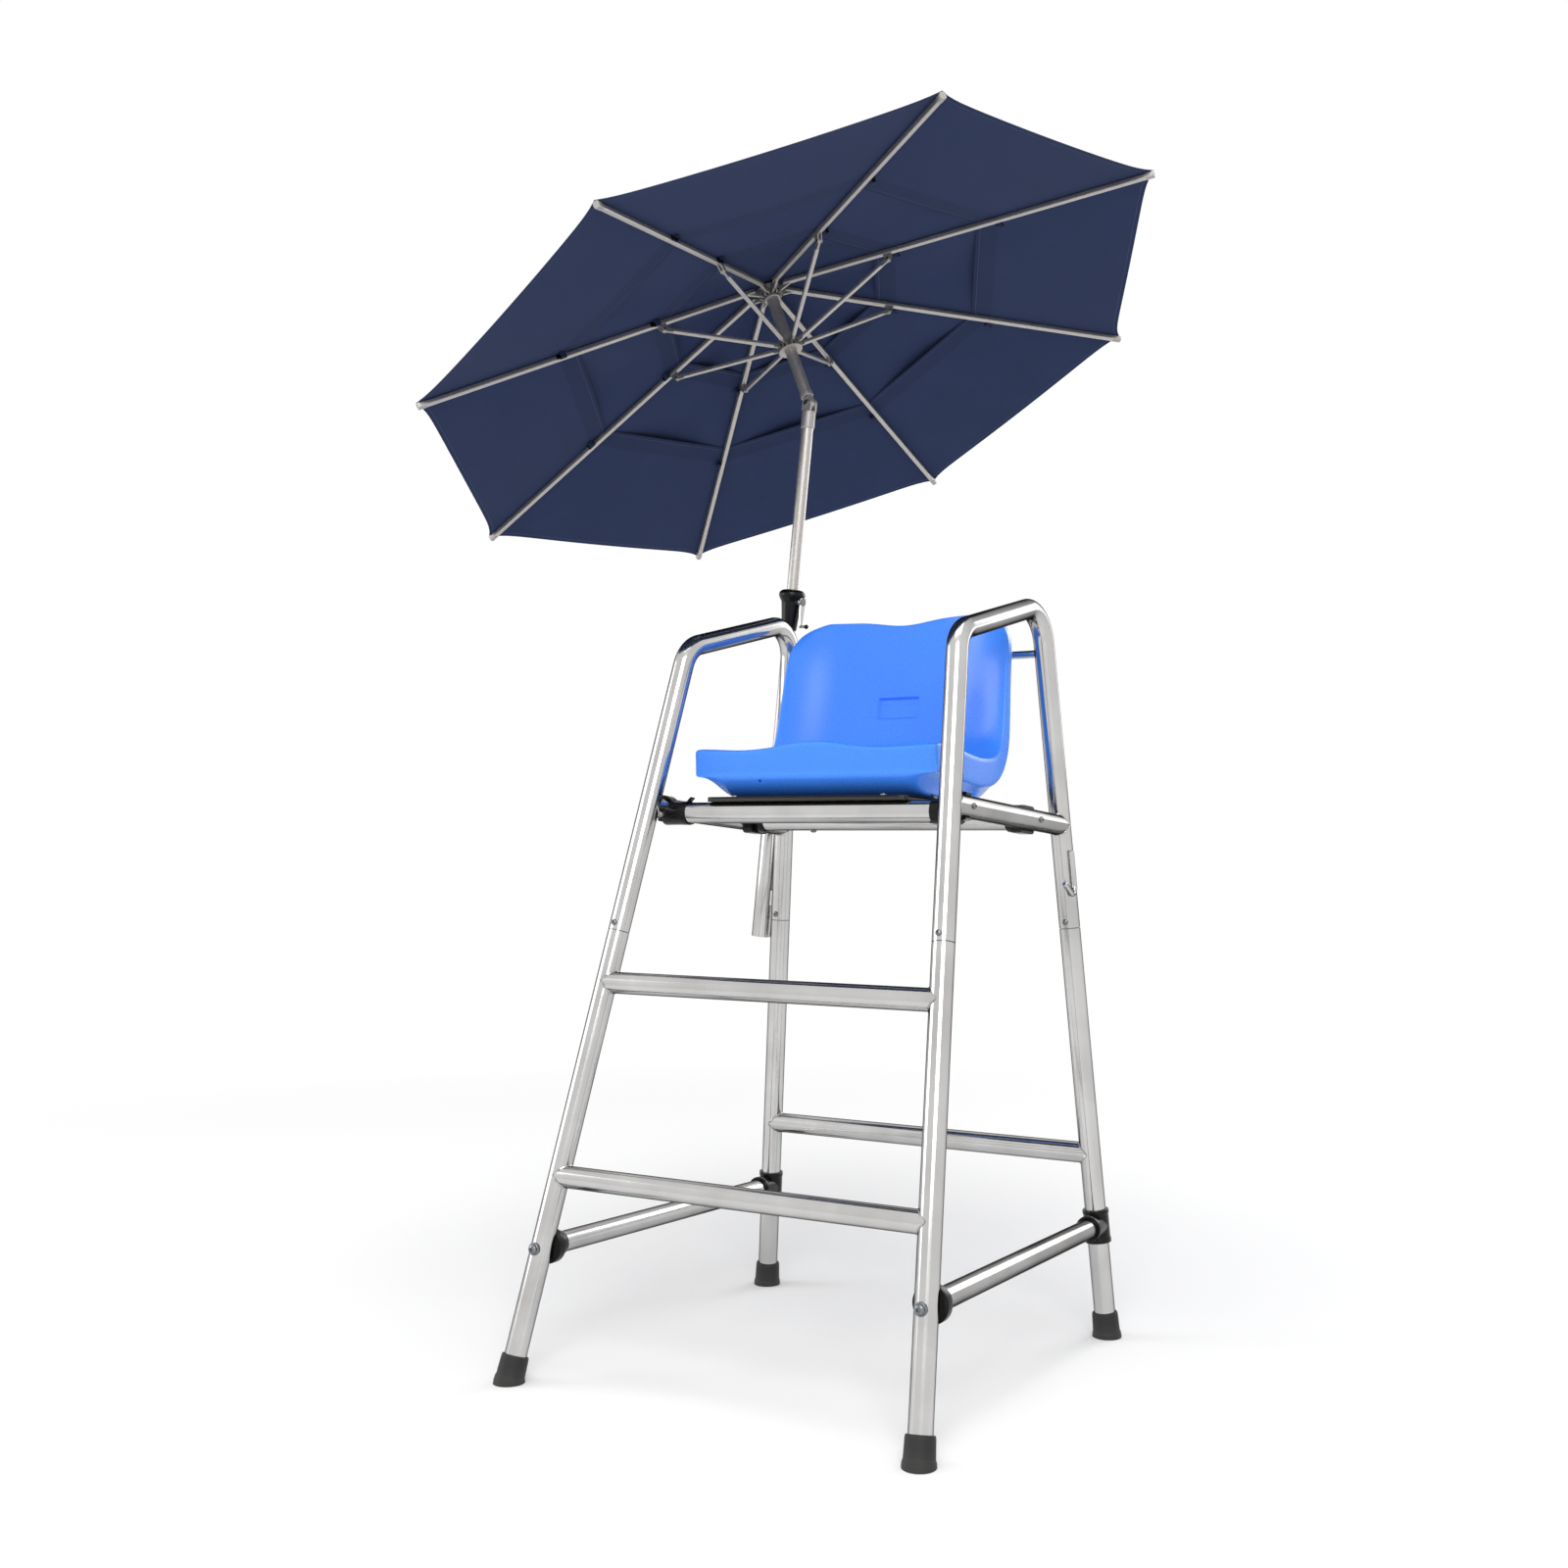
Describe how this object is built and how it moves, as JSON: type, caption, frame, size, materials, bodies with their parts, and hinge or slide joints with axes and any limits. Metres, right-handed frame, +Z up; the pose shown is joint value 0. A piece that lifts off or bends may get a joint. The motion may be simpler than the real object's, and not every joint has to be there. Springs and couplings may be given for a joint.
{
  "type": "lifeguard chair",
  "caption": "Tall guard chair of bent stainless tube with steps, a bucket seat, handrails, a life-ring hook and a tilting crank umbrella in a socket beside the seat.",
  "frame": {"origin": "on the floor under the middle of the whole object's box, umbrella included", "axes": "+Z up, -Y to the front where the guard faces, +X to the right as seen from the front"},
  "size_m": [1.4398, 1.5612, 2.1641],
  "materials": {
    "stainless": "polished stainless tube",
    "aluminium": "satin anodised",
    "blue_plastic": "glossy moulded",
    "black_plastic": "moulded, fine grain",
    "black_rubber": "matt",
    "black_steel": "black powder coat",
    "navy_cloth": "woven polyester"
  },
  "bodies": {
    "chair": {"side_frame_upper_left": "stainless", "side_frame_upper_right": "stainless", "front_ladder": "stainless", "rear_ladder": "stainless", "rubber_foot_front_left": "black_rubber", "rubber_foot_rear_left": "black_rubber", "rubber_foot_front_right": "black_rubber", "rubber_foot_rear_right": "black_rubber", "back_bar": "stainless", "side_stretcher_left": "stainless", "stretcher_saddle_left": "black_plastic", "stretcher_clamp_left": "black_plastic", "side_stretcher_right": "stainless", "stretcher_saddle_right": "black_plastic", "stretcher_clamp_right": "black_plastic", "seat_rail_left": "stainless", "seat_rail_right": "stainless", "seat_rail_front": "stainless", "seat_rail_rear": "stainless", "seat_rail_connector_left": "black_plastic", "seat_rail_saddle_left": "black_plastic", "seat_rail_connector_right": "black_plastic", "seat_rail_saddle_right": "black_plastic", "life_ring_hook": "stainless", "seat_base_plate": "black_steel", "seat_shell": "blue_plastic", "umbrella_socket": "stainless", "socket_liner": "black_plastic"},
    "mast": {"pole_lower": "aluminium", "crank_housing": "black_plastic"},
    "upper_pole": {"pole_upper": "aluminium", "umbrella_hub": "aluminium", "finial": "aluminium"},
    "runner": {"umbrella_runner": "aluminium"},
    "crank": {"crank_arm": "stainless"},
    "clamp_knob": {"socket_knob": "black_plastic"},
    "rib_1": {"rib_1": "aluminium", "canopy_panel_1": "navy_cloth"},
    "strut_1": {"strut_1": "aluminium"},
    "rib_2": {"rib_2": "aluminium", "canopy_panel_2": "navy_cloth"},
    "strut_2": {"strut_2": "aluminium"},
    "rib_3": {"rib_3": "aluminium", "canopy_panel_3": "navy_cloth"},
    "strut_3": {"strut_3": "aluminium"},
    "rib_4": {"rib_4": "aluminium", "canopy_panel_4": "navy_cloth"},
    "strut_4": {"strut_4": "aluminium"},
    "rib_5": {"rib_5": "aluminium", "canopy_panel_5": "navy_cloth"},
    "strut_5": {"strut_5": "aluminium"},
    "rib_6": {"rib_6": "aluminium", "canopy_panel_6": "navy_cloth"},
    "strut_6": {"strut_6": "aluminium"},
    "rib_7": {"rib_7": "aluminium", "canopy_panel_7": "navy_cloth"},
    "strut_7": {"strut_7": "aluminium"},
    "rib_8": {"rib_8": "aluminium", "canopy_panel_8": "navy_cloth"},
    "strut_8": {"strut_8": "aluminium"}
  },
  "joints": [
    {"name": "mast_swivel", "type": "hinge", "parent": "chair", "child": "mast", "pos_m": [0.03251, -0.00151, 1.785], "axis": [0.107, 0, 0.9943], "range_deg": [-30, 180]},
    {"name": "socket_knob_turn", "type": "hinge", "parent": "chair", "child": "clamp_knob", "pos_m": [-0.06839, -0.00151, 0.8478], "axis": [-0.5247, 0.8494, 0.0565], "range_deg": [0, 720]},
    {"name": "umbrella_tilt", "type": "hinge", "parent": "mast", "child": "upper_pole", "pos_m": [0.03251, -0.00151, 1.785], "axis": [0.1372, 0.9904, -0.0148], "range_deg": [0, 29.5]},
    {"name": "runner_slide", "type": "slide", "parent": "upper_pole", "child": "runner", "axis": [0.3921, -0.068, -0.9174], "range_m": [0, 0.085]},
    {"name": "crank_turn", "type": "hinge", "parent": "mast", "child": "crank", "pos_m": [-0.01042, -0.00151, 1.3863], "axis": [0.9794, -0.1725, -0.1054], "range_deg": [0, 612.1]},
    {"name": "rib_1_hinge", "type": "hinge", "parent": "upper_pole", "child": "rib_1", "pos_m": [-0.06915, -0.00328, 2.03], "axis": [0.9142, 0.1403, 0.3803], "range_deg": [0, 10.7], "deforming": ["canopy_panel_1"]},
    {"name": "strut_1_hinge", "type": "hinge", "parent": "rib_1", "child": "strut_1", "pos_m": [-0.02058, -0.23861, 2.00009], "axis": [0.9142, 0.1403, 0.3803], "range_deg": [-21.4, 0]},
    {"name": "rib_2_hinge", "type": "hinge", "parent": "upper_pole", "child": "rib_2", "pos_m": [-0.05682, 0.00449, 2.0347], "axis": [0.5737, 0.7977, 0.186], "range_deg": [0, 10.7], "deforming": ["canopy_panel_2"]},
    {"name": "strut_2_hinge", "type": "hinge", "parent": "rib_2", "child": "strut_2", "pos_m": [0.13592, -0.13994, 2.05967], "axis": [0.5737, 0.7977, 0.186], "range_deg": [-21.4, 0]},
    {"name": "rib_3_hinge", "type": "hinge", "parent": "upper_pole", "child": "rib_3", "pos_m": [-0.05292, 0.01928, 2.03527], "axis": [-0.1029, 0.9878, -0.1172], "range_deg": [0, 10.7], "deforming": ["canopy_panel_3"]},
    {"name": "strut_3_hinge", "type": "hinge", "parent": "rib_3", "child": "strut_3", "pos_m": [0.18544, 0.04786, 2.06691], "axis": [-0.1029, 0.9878, -0.1172], "range_deg": [-21.4, 0]},
    {"name": "rib_4_hinge", "type": "hinge", "parent": "upper_pole", "child": "rib_4", "pos_m": [-0.05973, 0.03243, 2.03138], "axis": [-0.7192, 0.5992, -0.3518], "range_deg": [0, 10.7], "deforming": ["canopy_panel_4"]},
    {"name": "strut_4_hinge", "type": "hinge", "parent": "rib_4", "child": "strut_4", "pos_m": [0.09897, 0.21479, 2.01758], "axis": [-0.7192, 0.5992, -0.3518], "range_deg": [-21.4, 0]},
    {"name": "rib_5_hinge", "type": "hinge", "parent": "upper_pole", "child": "rib_5", "pos_m": [-0.07326, 0.03623, 2.02532], "axis": [-0.9142, -0.1403, -0.3803], "range_deg": [0, 10.7], "deforming": ["canopy_panel_5"]},
    {"name": "strut_5_hinge", "type": "hinge", "parent": "rib_5", "child": "strut_5", "pos_m": [-0.07283, 0.26306, 1.94057], "axis": [-0.9142, -0.1403, -0.3803], "range_deg": [-21.4, 0]},
    {"name": "rib_6_hinge", "type": "hinge", "parent": "upper_pole", "child": "rib_6", "pos_m": [-0.08559, 0.02846, 2.02062], "axis": [-0.5737, -0.7977, -0.186], "range_deg": [0, 10.7], "deforming": ["canopy_panel_6"]},
    {"name": "strut_6_hinge", "type": "hinge", "parent": "rib_6", "child": "strut_6", "pos_m": [-0.22933, 0.16439, 1.881], "axis": [-0.5737, -0.7977, -0.186], "range_deg": [-21.4, 0]},
    {"name": "rib_7_hinge", "type": "hinge", "parent": "upper_pole", "child": "rib_7", "pos_m": [-0.08949, 0.01367, 2.02005], "axis": [0.1029, -0.9878, 0.1172], "range_deg": [0, 10.7], "deforming": ["canopy_panel_7"]},
    {"name": "strut_7_hinge", "type": "hinge", "parent": "rib_7", "child": "strut_7", "pos_m": [-0.27884, -0.02341, 1.87376], "axis": [0.1029, -0.9878, 0.1172], "range_deg": [-21.4, 0]},
    {"name": "rib_8_hinge", "type": "hinge", "parent": "upper_pole", "child": "rib_8", "pos_m": [-0.08268, 0.00052, 2.02394], "axis": [0.7192, -0.5992, 0.3518], "range_deg": [0, 10.7], "deforming": ["canopy_panel_8"]},
    {"name": "strut_8_hinge", "type": "hinge", "parent": "rib_8", "child": "strut_8", "pos_m": [-0.19238, -0.19034, 1.92309], "axis": [0.7192, -0.5992, 0.3518], "range_deg": [-21.4, 0]}
  ],
  "couplings": [
    {"joint": "crank_turn", "follows": "runner_slide", "rad_per_m": 125.66},
    {"joint": "rib_1_hinge", "follows": "runner_slide", "rad_per_m": 2.192},
    {"joint": "strut_1_hinge", "follows": "runner_slide", "rad_per_m": -4.384},
    {"joint": "rib_2_hinge", "follows": "runner_slide", "rad_per_m": 2.192},
    {"joint": "strut_2_hinge", "follows": "runner_slide", "rad_per_m": -4.384},
    {"joint": "rib_3_hinge", "follows": "runner_slide", "rad_per_m": 2.192},
    {"joint": "strut_3_hinge", "follows": "runner_slide", "rad_per_m": -4.384},
    {"joint": "rib_4_hinge", "follows": "runner_slide", "rad_per_m": 2.192},
    {"joint": "strut_4_hinge", "follows": "runner_slide", "rad_per_m": -4.384},
    {"joint": "rib_5_hinge", "follows": "runner_slide", "rad_per_m": 2.192},
    {"joint": "strut_5_hinge", "follows": "runner_slide", "rad_per_m": -4.384},
    {"joint": "rib_6_hinge", "follows": "runner_slide", "rad_per_m": 2.192},
    {"joint": "strut_6_hinge", "follows": "runner_slide", "rad_per_m": -4.384},
    {"joint": "rib_7_hinge", "follows": "runner_slide", "rad_per_m": 2.192},
    {"joint": "strut_7_hinge", "follows": "runner_slide", "rad_per_m": -4.384},
    {"joint": "rib_8_hinge", "follows": "runner_slide", "rad_per_m": 2.192},
    {"joint": "strut_8_hinge", "follows": "runner_slide", "rad_per_m": -4.384}
  ]
}
